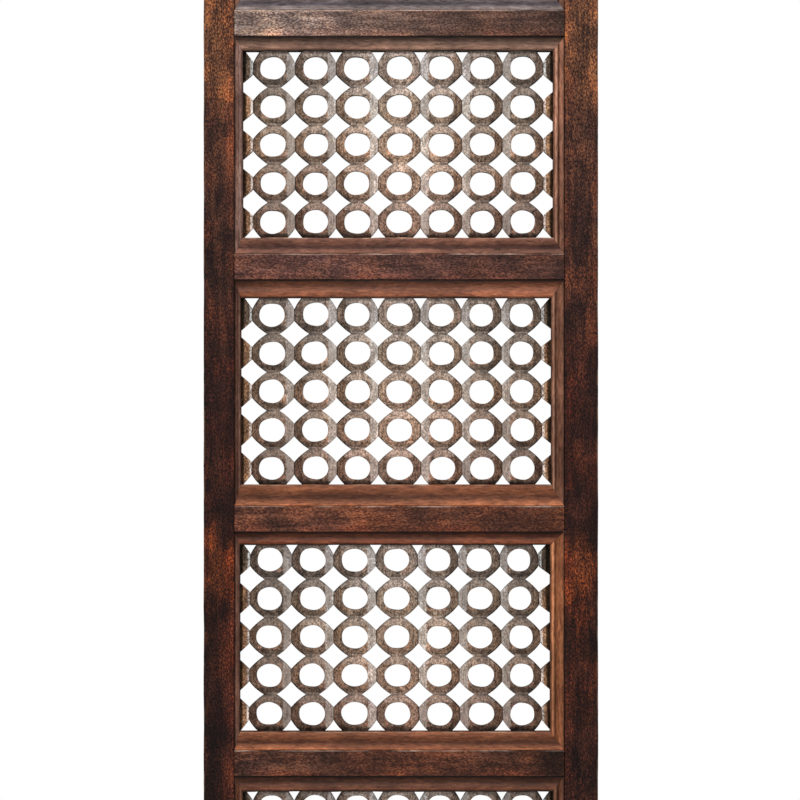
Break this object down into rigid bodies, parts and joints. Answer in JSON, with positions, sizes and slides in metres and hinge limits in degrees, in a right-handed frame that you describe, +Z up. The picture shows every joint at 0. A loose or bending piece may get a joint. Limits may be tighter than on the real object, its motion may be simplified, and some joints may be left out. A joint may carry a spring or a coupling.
{
  "type": "mashrabiya screen",
  "caption": "Tall joined wooden screen panel: stiles and rails frame square-cornered cells of pierced ring lattice inside mitred mouldings.",
  "frame": {"origin": "centre of the top rail's back face, on the plane that lies against the wall", "axes": "+Z up along the stiles, +X to the right seen from the front, the front faces -Y, the back faces +Y"},
  "size_m": [0.5082, 0.025, 1.6165],
  "materials": {
    "stile_wood": "dark red-brown stained wood, open upright grain, satin",
    "rail_wood": "brown stained wood, satin, worn light along its upper edge",
    "moulding_wood": "smooth brown stained wood, satin",
    "lattice_wood": "weathered grey-brown wood with dark pores, matt"
  },
  "bodies": {
    "root": {"left_stile": "stile_wood", "right_stile": "stile_wood", "top_rail": "rail_wood", "rail_2": "rail_wood", "rail_3": "rail_wood", "rail_4": "rail_wood", "rail_5": "rail_wood", "bottom_rail": "rail_wood", "cell_1_moulding": "moulding_wood", "cell_1_half_strip_left": "lattice_wood", "cell_1_strip_1": "lattice_wood", "cell_1_strip_2": "lattice_wood", "cell_1_strip_3": "lattice_wood", "cell_1_strip_4": "lattice_wood", "cell_1_strip_5": "lattice_wood", "cell_1_strip_6": "lattice_wood", "cell_1_strip_7": "lattice_wood", "cell_1_half_strip_right": "lattice_wood", "cell_2_moulding": "moulding_wood", "cell_2_half_strip_left": "lattice_wood", "cell_2_strip_1": "lattice_wood", "cell_2_strip_2": "lattice_wood", "cell_2_strip_3": "lattice_wood", "cell_2_strip_4": "lattice_wood", "cell_2_strip_5": "lattice_wood", "cell_2_strip_6": "lattice_wood", "cell_2_strip_7": "lattice_wood", "cell_2_half_strip_right": "lattice_wood", "cell_3_moulding": "moulding_wood", "cell_3_half_strip_left": "lattice_wood", "cell_3_strip_1": "lattice_wood", "cell_3_strip_2": "lattice_wood", "cell_3_strip_3": "lattice_wood", "cell_3_strip_4": "lattice_wood", "cell_3_strip_5": "lattice_wood", "cell_3_strip_6": "lattice_wood", "cell_3_strip_7": "lattice_wood", "cell_3_half_strip_right": "lattice_wood", "cell_4_moulding": "moulding_wood", "cell_4_half_strip_left": "lattice_wood", "cell_4_strip_1": "lattice_wood", "cell_4_strip_2": "lattice_wood", "cell_4_strip_3": "lattice_wood", "cell_4_strip_4": "lattice_wood", "cell_4_strip_5": "lattice_wood", "cell_4_strip_6": "lattice_wood", "cell_4_strip_7": "lattice_wood", "cell_4_half_strip_right": "lattice_wood", "cell_5_moulding": "moulding_wood", "cell_5_half_strip_left": "lattice_wood", "cell_5_strip_1": "lattice_wood", "cell_5_strip_2": "lattice_wood", "cell_5_strip_3": "lattice_wood", "cell_5_strip_4": "lattice_wood", "cell_5_strip_5": "lattice_wood", "cell_5_strip_6": "lattice_wood", "cell_5_strip_7": "lattice_wood", "cell_5_half_strip_right": "lattice_wood"}
  },
  "joints": []
}
